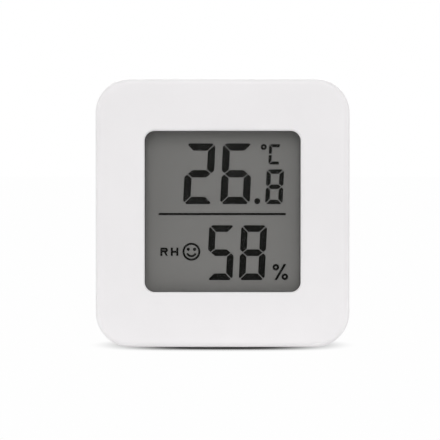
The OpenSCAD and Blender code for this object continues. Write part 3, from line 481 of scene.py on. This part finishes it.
@dataclass(frozen=True)
class DrawnMetal(Finish):
    """Rolled or drawn sheet metal: lines along one direction, with a spread of gloss.

    Attributes:
        lay: Direction of the lines.
        line: Width of one line.
        depth: Depth of the lines.
        stain: Width of one stain.
        tones: Factors on the colour between which the stains vary.
        spread: How far the roughness swings down and up.
    """

    lay: Lay = Lay.ALONG_X
    line: float = 0.09 * MM
    depth: float = 0.004 * MM
    stain: float = 4 * MM
    tones: tuple[float, float] = (0.9, 1.06)
    spread: tuple[float, float] = (-0.08, 0.12)

    def paint(self, graph: Graph) -> None:
        """Builds the drawn-out lines, a slow stain and the shader."""
        lines = graph.noise(self.line, FINE, graph.stretched(self.lay.value))
        stains = graph.noise(self.stain, FINE)
        graph.principled(
            Base_Color=graph.ramp(stains, *(shade(self.colour, tone) for tone in self.tones)),
            Metallic=1.0,
            Roughness=graph.span(lines, *(self.roughness + swing for swing in self.spread)),
            Normal=graph.relief(lines, self.depth),
        )


@dataclass(frozen=True)
class Layered(Finish):
    """Layered contact rubber: dark conducting bands between paler ones.

    Attributes:
        pale: Colour of the insulating bands.
        pitch: Width of a pair of bands.
        edge: Shares of a band between which its colour changes.
        waver: How unevenly the bands run.
        skin: Width of one patch of the uneven skin.
        depth: Depth of that unevenness.
    """

    pale: RGB = (0.35, 0.33, 0.3)
    pitch: float = 0.18 * MM
    edge: tuple[float, float] = (0.4, 0.6)
    waver: float = 0.3
    skin: float = 0.2 * MM
    depth: float = 0.01 * MM

    def paint(self, graph: Graph) -> None:
        """Builds the bands across the strip's length and the shader.

        A band texture of scale 1 repeats every tenth of pi.
        """
        bands = graph.add("ShaderNodeTexWave", wave_type="BANDS", bands_direction="X")
        bands.inputs["Scale"].default_value = math.pi / (10 * self.pitch)
        bands.inputs["Distortion"].default_value = self.waver
        graph.link(graph.place, bands.inputs["Vector"])
        graph.principled(
            Base_Color=graph.ramp(bands.outputs["Fac"], self.colour, self.pale, self.edge),
            Roughness=self.roughness,
            Normal=graph.relief(graph.noise(self.skin), self.depth),
        )


@dataclass(frozen=True)
class Cast(Finish):
    """Poured, dipped or fired body: soft mottling and a slightly uneven skin.

    Attributes:
        mottle: Width of one patch.
        depth: Depth of the unevenness.
        contrast: Share by which the patches differ in tone.
        spread: How much rougher the dullest patch is.
    """

    mottle: float = 0.6 * MM
    depth: float = 0.01 * MM
    contrast: float = 0.15
    spread: float = 0.1

    def paint(self, graph: Graph) -> None:
        """Builds the mottling, the skin and the shader."""
        patches = graph.noise(self.mottle, FINE)
        graph.principled(
            Base_Color=graph.ramp(patches, shade(self.colour, 1 - self.contrast),
                                  shade(self.colour, 1 + self.contrast)),
            Roughness=graph.span(patches, self.roughness, self.roughness + self.spread),
            Normal=graph.relief(patches, self.depth),
        )


def report(name: str, note: str) -> None:
    """Logs one piece."""
    LOG.info("%s: %s", name, note)


@dataclass
class Assembly:
    """A group of the part's nodes with their finishes.

    Attributes:
        finishes: Finish of each node.
    """

    finishes: dict[str, Finish] = field(default_factory=dict)

    def dress(self) -> None:
        """Puts each node's finish into its material slot."""
        for name, finish in self.finishes.items():
            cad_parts[name].material_slots[0].material = finish.material()
            report(name, finish.name)

    def build(self) -> None:
        """Makes the assembly's new pieces; most have none."""


def skin(name: str, rings: np.ndarray) -> bpy.types.Mesh:
    """Closes a stack of rings into one skin, with a fan at each end.

    Vertex (i, j) is point j of ring i. Each cell of the grid is a quad, the last column joins the
    first, and the first and last ring each close on their own middle. The faces are turned so that
    the volume that they enclose is positive.

    Args:
        name: Name of the mesh.
        rings: Points, as an array of shells by rings by points by 3.

    Returns:
        The mesh.
    """
    shells, rows, sides, _ = rings.shape
    index = np.arange(rows * sides).reshape(rows, sides)
    around = np.roll(index, -1, axis=1)
    quads = np.stack([index[:-1], around[:-1], around[1:], index[1:]], axis=-1).reshape(-1, 4)
    first, last = rows * sides, rows * sides + 1
    fan_a = np.stack([np.full(sides, first), around[0], index[0]], axis=-1)
    fan_b = np.stack([np.full(sides, last), index[-1], around[-1]], axis=-1)
    ends = rings[:, [0, -1]].mean(axis=2)
    points = np.concatenate([rings.reshape(shells, -1, 3), ends], axis=1)
    flat = np.concatenate([quads[:, [0, 1, 2]], quads[:, [0, 2, 3]], fan_a, fan_b])
    corners = points[0][flat]
    volume = np.einsum("ij,ij->i", corners[:, 0], np.cross(corners[:, 1], corners[:, 2])).sum()
    if volume < 0:
        quads, fan_a, fan_b = quads[:, ::-1], fan_a[:, ::-1], fan_b[:, ::-1]
    shift = (np.arange(shells) * points.shape[1])[:, None, None]
    faces = (quads + shift).reshape(-1, 4).tolist()
    faces += (np.concatenate([fan_a, fan_b]) + shift).reshape(-1, 3).tolist()
    mesh = bpy.data.meshes.new(name)
    mesh.from_pydata(points.reshape(-1, 3).tolist(), [], faces)
    mesh.polygons.foreach_set("use_smooth", np.ones(len(mesh.polygons), bool))
    mesh.set_sharp_from_angle(angle=SHARP_EDGE)
    mesh.update()
    return mesh


@dataclass(frozen=True)
class HeadShape:
    """Shape of a pan head, as shares of the head's radius or, for heights, of its height.

    Attributes:
        edge: Radius of the rounded edge.
        dome: Height by which the top falls from its middle to the edge.
        slot: Half the width of a slot of the cross.
        flank: Width of a slot's sloping flank.
        reach: Length of a slot from the middle to its end.
        end: Length of its sloping end.
        sunk: Depth of the cross.
        seat: Radius of the flat underside.
    """

    edge: float = 0.22
    dome: float = 0.16
    slot: float = 0.25
    flank: float = 0.07
    reach: float = 0.62
    end: float = 0.14
    sunk: float = 0.5
    seat: float = 0.98


@dataclass
class CrossScrews:
    """A group of pan-head screws with a crossed recess and a cut thread, as one piece.

    Attributes:
        node: The node that the piece stands for.
        finish: Finish of the screws.
        head_r: Radius of the head.
        head_h: Height of the head.
        shank_r: Radius over the thread.
        thread: Depth of the thread.
        pitch: Pitch of the thread.
        shape: Shape of the head.
        taper: Share of the shank that tapers to the tip.
        tip: Share of the radius that is left at the tip.
        start: Share of the way at which the head's first ring and the shank's first ring lie.
        sides: Points of a ring.
        top_rings: Rings over the top of the head.
        edge_rings: Rings round its edge.
        shank_rings: Rings along the shank.
    """

    node: str
    finish: Finish
    head_r: float
    head_h: float
    shank_r: float
    thread: float = 0.16 * MM
    pitch: float = 0.6 * MM
    shape: HeadShape = HeadShape()
    taper: float = 0.2
    tip: float = 0.25
    start: float = 0.02
    sides: int = 64
    top_rings: int = 30
    edge_rings: int = 6
    shank_rings: int = 72

    def places(self) -> np.ndarray:
        """Gives the screws' axes, from the corners of the node's box, as rows of X and Z."""
        low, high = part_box(self.node)
        xs = (low.x + self.head_r, high.x - self.head_r)
        zs = sorted({round(low.z + self.head_r, 6), round(high.z - self.head_r, 6)})
        return np.array([(x, z) for x in xs for z in zs])

    def head(self, angle: np.ndarray) -> tuple[np.ndarray, np.ndarray]:
        """Works out the rings of the head, from the middle of its top to the shank.

        The top is a dome that falls by the square of the radius; a cross of two tapered slots is sunk
        into it. Its edge is a quarter circle, and its side and underside are straight.

        Args:
            angle: Angles of the points of a ring.

        Returns:
            Radii and heights above the seat, each as rings by points.
        """
        shape, radius, height = self.shape, self.head_r, self.head_h
        every = np.ones_like(angle)
        edge = shape.edge * radius
        inner = radius - edge
        out = np.linspace(self.start, 1, self.top_rings)[:, None] * inner * every
        across, along = np.abs(out * np.cos(angle)), np.abs(out * np.sin(angle))
        near, far = np.minimum(across, along), np.maximum(across, along)
        slot = np.clip((shape.slot * radius - near) / (shape.flank * radius), 0, 1)
        slot = slot * np.clip((shape.reach * radius - far) / (shape.end * radius), 0, 1)
        top = height - shape.dome * height * (out / inner) ** 2 - shape.sunk * height * slot
        turn = np.linspace(1 / (self.edge_rings - 1), 1, self.edge_rings)[:, None] * math.pi / 2 * every
        rim = inner + edge * np.sin(turn)
        rim_top = (1 - shape.dome) * height - edge * (1 - np.cos(turn))
        foot = np.zeros((2, 1)) * every
        foot_r = np.array([[shape.seat * radius], [self.shank_r - self.thread]]) * every
        return np.concatenate([out, rim, foot_r]), np.concatenate([top, rim_top, foot])

    def shank(self, angle: np.ndarray, length: float) -> tuple[np.ndarray, np.ndarray]:
        """Works out the rings of the shank, from the seat to the tip.

        The radius swings between root and crest as a wave of the height over the pitch minus the angle
        over a turn, so the crest climbs as a helix; near the end it tapers to a blunt point.

        Args:
            angle: Angles of the points of a ring.
            length: Length of the shank.

        Returns:
            Radii and heights above the seat, each as rings by points.
        """
        down = np.linspace(self.start, 1, self.shank_rings)[:, None] * length * np.ones_like(angle)
        wave = 0.5 + 0.5 * np.cos(2 * math.pi * (down / self.pitch - angle / (2 * math.pi)))
        taper = np.clip((length - down) / (self.taper * length), self.tip, 1)
        return (self.shank_r - self.thread * (1 - wave ** 2)) * taper, -down

    def build(self) -> None:
        """Makes the group and lets it stand for its node."""
        low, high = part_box(self.node)
        seat = high.y - self.head_h
        angle = np.linspace(0, 2 * math.pi, self.sides, endpoint=False)[None, :]
        head_r, head_y = self.head(angle)
        shank_r, shank_y = self.shank(angle, seat - low.y)
        radius, height = np.concatenate([head_r, shank_r]), np.concatenate([head_y, shank_y])
        one = np.stack([radius * np.cos(angle), seat + height, radius * np.sin(angle)], axis=-1)
        spots = self.places()
        shift = np.stack([spots[:, 0], np.zeros(len(spots)), spots[:, 1]], axis=-1)
        piece = bpy.data.objects.new(f"{self.node}_cut", skin(self.node, one + shift[:, None, None]))
        bpy.context.scene.collection.objects.link(piece)
        piece.data.materials.append(self.finish.material())
        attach(piece, CASE_BODY)
        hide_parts(self.node)
        report(piece.name, f"{len(spots)} screws with cut threads")


FRONT_WHITE = MouldedPlastic("front_white_plastic", (0.85, 0.834, 0.842), 0.5)
REAR_WHITE = MouldedPlastic("rear_white_plastic", (0.84, 0.825, 0.832), 0.55, depth=0.008 * MM)
COVER_WHITE = MouldedPlastic("cover_white_plastic", (0.83, 0.815, 0.822), 0.5, depth=0.007 * MM)
STAND_WHITE = MouldedPlastic("stand_white_plastic", (0.82, 0.806, 0.813), 0.45, depth=0.003 * MM)
BUTTON_WHITE = MouldedPlastic("button_white_plastic", (0.8, 0.786, 0.793), 0.4, depth=0.002 * MM)
FRAME_PLASTIC = MouldedPlastic("display_frame_plastic", (0.72, 0.7, 0.66), 0.5)
SENSOR_WHITE = MouldedPlastic("sensor_housing_plastic", (0.8, 0.78, 0.73), 0.5)
SWITCH_BLACK = MouldedPlastic("switch_black_plastic", (0.03, 0.03, 0.033), 0.45)
PLUNGER_GREY = MouldedPlastic("plunger_grey_plastic", (0.12, 0.12, 0.13), 0.45)
LENS_CLEAR = CoatedLens("lens_acrylic", (0.95, 0.96, 0.96), 0.08)
FILM_GREY = ClearSheet("grey_film", (0.1, 0.1, 0.095), 0.5, 0.01)
GLASS_CLEAR = ClearSheet("cell_glass", (0.3, 0.32, 0.31), 0.2, 0.004)
GROUND_GREY = ReadoutGround("readout_ground", (0.181, 0.179, 0.172), 0.5, painted_lift=0.1)
FOIL_GREY = ReadoutGround("foil_grey", (0.3, 0.3, 0.29), 0.4)
SEGMENT_DARK = DarkSegment("dark_crystal", (0.0042, 0.0042, 0.0035), 0.5)
# Nearly black tape: the thin rim of it that shows all round inside the window is partly the tape and partly
# painted shade, standing in for the shade line along the window's edge.
TAPE_AND_EDGE_SHADE = Cast("tape_gum_and_edge_shade", (0.013, 0.013, 0.013), 0.6)
SEAL_RESIN = Cast("seal_bead_resin", (0.5, 0.48, 0.43), 0.4)
CHIP_RESIN = Cast("black_drop_resin", (0.012, 0.012, 0.012), 0.25)
CHIP_BODY = Cast("fired_chip", (0.36, 0.27, 0.17), 0.45, mottle=0.25 * MM)
BEAD_BROWN = Cast("brown_dip", (0.3, 0.075, 0.03), 0.2)
ZEBRA = Layered("banded_rubber", (0.02, 0.02, 0.022), 0.7)
BOARD_GREEN = SolderResist("green_lacquer", (0.02, 0.13, 0.045), 0.28)
MODULE_BLUE = SolderResist("blue_lacquer", (0.015, 0.06, 0.17), 0.28, track=0.8 * MM)
CAN_METAL = DrawnMetal("drawn_can", (0.62, 0.63, 0.64), 0.3, Lay.ALONG_Z)
CONTACT_NICKEL = DrawnMetal("nickel_spring", (0.62, 0.58, 0.5), 0.28, Lay.ALONG_Z)
CELL_STEEL = DrawnMetal("cell_can_steel", (0.58, 0.59, 0.6), 0.26)
SCREW_STEEL = DrawnMetal("turned_steel", (0.5, 0.51, 0.52), 0.32)


@dataclass
class Shells(Assembly):
    """The two halves of the case and the screws that hold them and the board.

    Attributes:
        screws: The two groups of screws.
    """

    finishes: dict[str, Finish] = field(default_factory=lambda: {
        "front_case": FRONT_WHITE, "rear_case": REAR_WHITE})
    screws: tuple[CrossScrews, ...] = (
        CrossScrews("case_screws", SCREW_STEEL, 1.5 * MM, 1.1 * MM, 0.85 * MM),
        CrossScrews("board_screws", SCREW_STEEL, 1.2 * MM, 0.8 * MM, 0.7 * MM, 0.13 * MM, 0.5 * MM),
    )

    def build(self) -> None:
        """Makes both groups of screws."""
        for group in self.screws:
            group.build()


@dataclass
class Readout(Assembly):
    """Window lens and the layers of the liquid-crystal display behind it.

    Attributes:
        clear: Nodes that let light through to the layers below.
        shadowless: Nodes that throw no shadow on the ground right behind them.
    """

    finishes: dict[str, Finish] = field(default_factory=lambda: {
        "window_tape": TAPE_AND_EDGE_SHADE, "window_lens": LENS_CLEAR, "lcd_polarizer": FILM_GREY,
        "lcd_front_glass": GLASS_CLEAR, "lcd_segments": SEGMENT_DARK, "lcd_seal": SEAL_RESIN,
        "lcd_rear_glass": GROUND_GREY, "lcd_reflector": FOIL_GREY, "lcd_frame": FRAME_PLASTIC,
        "zebra_strip": ZEBRA})
    clear: tuple[str, ...] = ("window_lens", "lcd_polarizer", "lcd_front_glass")
    shadowless: tuple[str, ...] = ("lcd_segments",)

    def dress(self) -> None:
        """Dresses the layers and lets light pass the clear ones."""
        super().dress()
        for name in self.clear + self.shadowless:
            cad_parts[name].visible_shadow = False
        for name in self.clear:
            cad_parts[name].visible_diffuse = False


@dataclass
class Electronics(Assembly):
    """Circuit board and what is soldered to it."""

    finishes: dict[str, Finish] = field(default_factory=lambda: {
        "circuit_board": BOARD_GREEN, "chip_blob": CHIP_RESIN, "radio_module": MODULE_BLUE,
        "radio_shield": CAN_METAL, "chip_parts": CHIP_BODY, "crystal": CAN_METAL,
        "humidity_sensor": SENSOR_WHITE, "thermistor": BEAD_BROWN, "tact_switch": SWITCH_BLACK})


@dataclass
class BatteryBay(Assembly):
    """Coin cell, its contacts and its bayonet cover."""

    finishes: dict[str, Finish] = field(default_factory=lambda: {
        "negative_contact": CONTACT_NICKEL, "positive_contact": CONTACT_NICKEL, "coin_cell": CELL_STEEL,
        "battery_cover": COVER_WHITE})


@dataclass
class MovingTrim(Assembly):
    """Fold-out stand, set button and the switch plunger under it."""

    finishes: dict[str, Finish] = field(default_factory=lambda: {
        "stand": STAND_WHITE, "set_button": BUTTON_WHITE, "switch_plunger": PLUNGER_GREY})


def bearing(azimuth: float, elevation: float) -> Vector:
    """Gives the direction from the part to a lamp or camera.

    Args:
        azimuth: Turn round the part, in degrees; 0 is in front and 90 on the right.
        elevation: Height, in degrees.

    Returns:
        A vector of length 1.
    """
    turn, rise = math.radians(azimuth), math.radians(elevation)
    return Vector((math.sin(turn) * math.cos(rise), -math.cos(turn) * math.cos(rise), math.sin(rise)))


@dataclass(frozen=True)
class Softbox:
    """A square diffuser lamp aimed at the part.

    Attributes:
        name: Name of the lamp.
        azimuth: Where it stands round the part, in degrees; 0 is in front and 90 on the right.
        elevation: How high it stands, in degrees.
        level: Brightness that a white face turned to it would get from it alone.
        size: Width of its diffuser.
        distance: Distance from the part.
    """

    name: str
    azimuth: float
    elevation: float
    level: float
    size: float = 0.7
    distance: float = 1.2

    def build(self, aim: Vector) -> None:
        """Makes the lamp.

        Args:
            aim: Point that it is aimed at.
        """
        away = bearing(self.azimuth, self.elevation)
        light = bpy.data.lights.new(self.name, "AREA")
        light.size = self.size
        light.energy = self.level * math.pi ** 2 * self.distance ** 2
        lamp = bpy.data.objects.new(self.name, light)
        lamp.location = aim + self.distance * away
        lamp.rotation_euler = away.to_track_quat("Z", "Y").to_euler()
        lamp.visible_camera = False
        bpy.context.scene.collection.objects.link(lamp)
        report(self.name, f"lamp at {self.azimuth:g}, {self.elevation:g}")


@dataclass
class Studio:
    """White sweep, soft lamps and the camera.

    Attributes:
        lamps: The softboxes.
        sky: Brightness of the surrounding white on the part.
        floor_tone: Reflectance of the floor.
        floor_white: Brightness of the open floor in the picture.
        pool_glow: Extra light that the floor sends up right round the part.
        pool_reach: Distance at which that light has faded out.
        shadow_reach: Distance over which the part darkens the floor.
        shadow_share: Open share of the sky at which the floor is darkest, and at which it is white.
        shadow_dark: Brightness of the darkest floor.
        shadow_half: Half-axes of the oval that the shadow stays in.
        shadow_fade: Shares of the way out to that oval between which it fades.
        floor_half: Half the width of the floor.
        aim: Point in the middle of the picture.
        view_w: Width of the view at that point.
        distance: Distance of the camera from that point.
        elevation: Height of the camera, in degrees.
        azimuth: How far the camera stands to the right, in degrees.
    """

    lamps: tuple[Softbox, ...] = (
        Softbox("key_lamp", 0, 36, 0.335),
        Softbox("low_lamp", 0, 6, 0.14),
        Softbox("top_lamp", 0, 80, 0.08),
        Softbox("left_lamp", -80, 15, 0.19),
        Softbox("right_lamp", 80, 15, 0.19),
        Softbox("rear_lamp", 180, 30, 0.5),
    )
    sky: float = 0.35
    floor_tone: float = 0.8
    floor_white: float = 0.992
    pool_glow: float = 0.24
    pool_reach: float = 0.07
    shadow_reach: float = 14 * MM
    shadow_share: tuple[float, float] = (0.69, 0.94)
    shadow_dark: float = 0.04
    shadow_half: tuple[float, float] = (25 * MM, 26 * MM)
    shadow_fade: tuple[float, float] = (0.39, 0.94)
    floor_half: float = 4.0
    aim: Vector = field(default_factory=lambda: Vector((-0.45, -6.75, 21.82)) * MM)
    view_w: float = 75.3 * MM
    distance: float = 0.48
    elevation: float = 1.3
    azimuth: float = 0.0

    def seen(self, graph: bpy.types.NodeTree) -> bpy.types.NodeSocket:
        """Gives 1 for rays that show the background and 0 for rays that only carry light.

        Args:
            graph: The node tree that it goes in.

        Returns:
            The socket.
        """
        path = graph.nodes.new("ShaderNodeLightPath")
        value = path.outputs["Is Camera Ray"]
        for other in ("Is Glossy Ray", "Is Transmission Ray"):
            either = graph.nodes.new("ShaderNodeMath")
            either.operation = "MAXIMUM"
            graph.links.new(value, either.inputs[0])
            graph.links.new(path.outputs[other], either.inputs[1])
            value = either.outputs[0]
        return value

    def build_sky(self) -> None:
        """Makes the surrounding white."""
        world = bpy.data.worlds.new("white_sweep")
        bpy.context.scene.world = world
        world.use_nodes = True
        tree = world.node_tree
        strength = tree.nodes.new("ShaderNodeMapRange")
        strength.inputs["To Min"].default_value = self.sky
        strength.inputs["To Max"].default_value = 1.0
        tree.links.new(self.seen(tree), strength.inputs["Value"])
        back = tree.nodes["Background"]
        back.inputs["Color"].default_value = (1, 1, 1, 1)
        tree.links.new(strength.outputs["Result"], back.inputs["Strength"])

    def build_floor(self) -> None:
        """Makes the white floor, which keeps the part's shadow."""
        half = self.floor_half
        mesh = bpy.data.meshes.new("floor")
        mesh.from_pydata([(-half, -half, 0), (half, -half, 0), (half, half, 0), (-half, half, 0)], [],
                         [(0, 1, 2, 3)])
        floor = bpy.data.objects.new("floor", mesh)
        bpy.context.scene.collection.objects.link(floor)
        graph = Graph("floor_white")
        both = graph.add("ShaderNodeMixShader")
        graph.link(self.seen(graph.tree), both.inputs["Fac"])
        graph.link(self.floor_light(graph), both.inputs[1])
        graph.link(self.floor_picture(graph), both.inputs[2])
        graph.finish(both.outputs["Shader"])
        mesh.materials.append(graph.material)

    def floor_light(self, graph: Graph) -> bpy.types.NodeSocket:
        """Makes the floor as rays that carry light meet it: matt white, with a pool of light at the part.

        Args:
            graph: The floor's material.

        Returns:
            The shader's socket.
        """
        matt = graph.add("ShaderNodeBsdfDiffuse")
        matt.inputs["Color"].default_value = (self.floor_tone,) * 3 + (1,)
        far = graph.add("ShaderNodeVectorMath", operation="LENGTH")
        graph.link(graph.place, far.inputs[0])
        pool = graph.step(far.outputs["Value"], (0.0, self.pool_reach), (self.pool_glow, 0.0))
        glow = graph.add("ShaderNodeEmission")
        graph.link(pool, glow.inputs["Strength"])
        both = graph.add("ShaderNodeAddShader")
        graph.link(matt.outputs["BSDF"], both.inputs[0])
        graph.link(glow.outputs["Emission"], both.inputs[1])
        return both.outputs["Shader"]

    def floor_picture(self, graph: Graph) -> bpy.types.NodeSocket:
        """Makes the floor as the picture shows it: white, and dark where the part hems it in.

        Args:
            graph: The floor's material.

        Returns:
            The shader's socket.
        """
        open_share = graph.add("ShaderNodeAmbientOcclusion", samples=32)
        open_share.inputs["Distance"].default_value = self.shadow_reach
        shadow = graph.step(open_share.outputs["AO"], self.shadow_share, (self.shadow_dark, 1.0))
        oval = graph.add("ShaderNodeVectorMath", operation="LENGTH")
        graph.link(graph.stretched((1 / self.shadow_half[0], 1 / self.shadow_half[1], 0.0)), oval.inputs[0])
        fade = graph.step(oval.outputs["Value"], self.shadow_fade, (0.0, 1.0))
        tone = graph.add("ShaderNodeMix", data_type="FLOAT")
        graph.link(fade, tone.inputs["Factor"])
        graph.link(shadow, tone.inputs["A"])
        tone.inputs["B"].default_value = 1.0
        white = graph.add("ShaderNodeMath", operation="MULTIPLY")
        white.inputs[1].default_value = self.floor_white
        graph.link(tone.outputs["Result"], white.inputs[0])
        sheet = graph.add("ShaderNodeEmission")
        graph.link(white.outputs[0], sheet.inputs["Strength"])
        return sheet.outputs["Emission"]

    def build_camera(self) -> None:
        """Makes the camera, at the height and distance that frame the part as the photo does."""
        lens = bpy.data.cameras.new("camera")
        lens.lens = lens.sensor_width * self.distance / self.view_w
        lens.clip_start = 0.01
        away = bearing(self.azimuth, self.elevation)
        camera = bpy.data.objects.new("camera", lens)
        camera.location = self.aim + self.distance * away
        camera.rotation_euler = away.to_track_quat("Z", "Y").to_euler()
        bpy.context.scene.collection.objects.link(camera)
        bpy.context.scene.camera = camera

    def build(self) -> None:
        """Makes the whole studio."""
        self.build_sky()
        self.build_floor()
        self.build_camera()
        for lamp in self.lamps:
            lamp.build(self.aim)
        bpy.context.scene.view_settings.view_transform = "Standard"


def main() -> None:
    """Builds and dresses the assemblies in order, then the studio."""
    logging.basicConfig(level=logging.INFO, format="%(name)s %(message)s")
    for assembly in (Shells(), Readout(), Electronics(), BatteryBay(), MovingTrim()):
        assembly.build()
        assembly.dress()
    Studio().build()


if __name__ == "__main__":
    main()
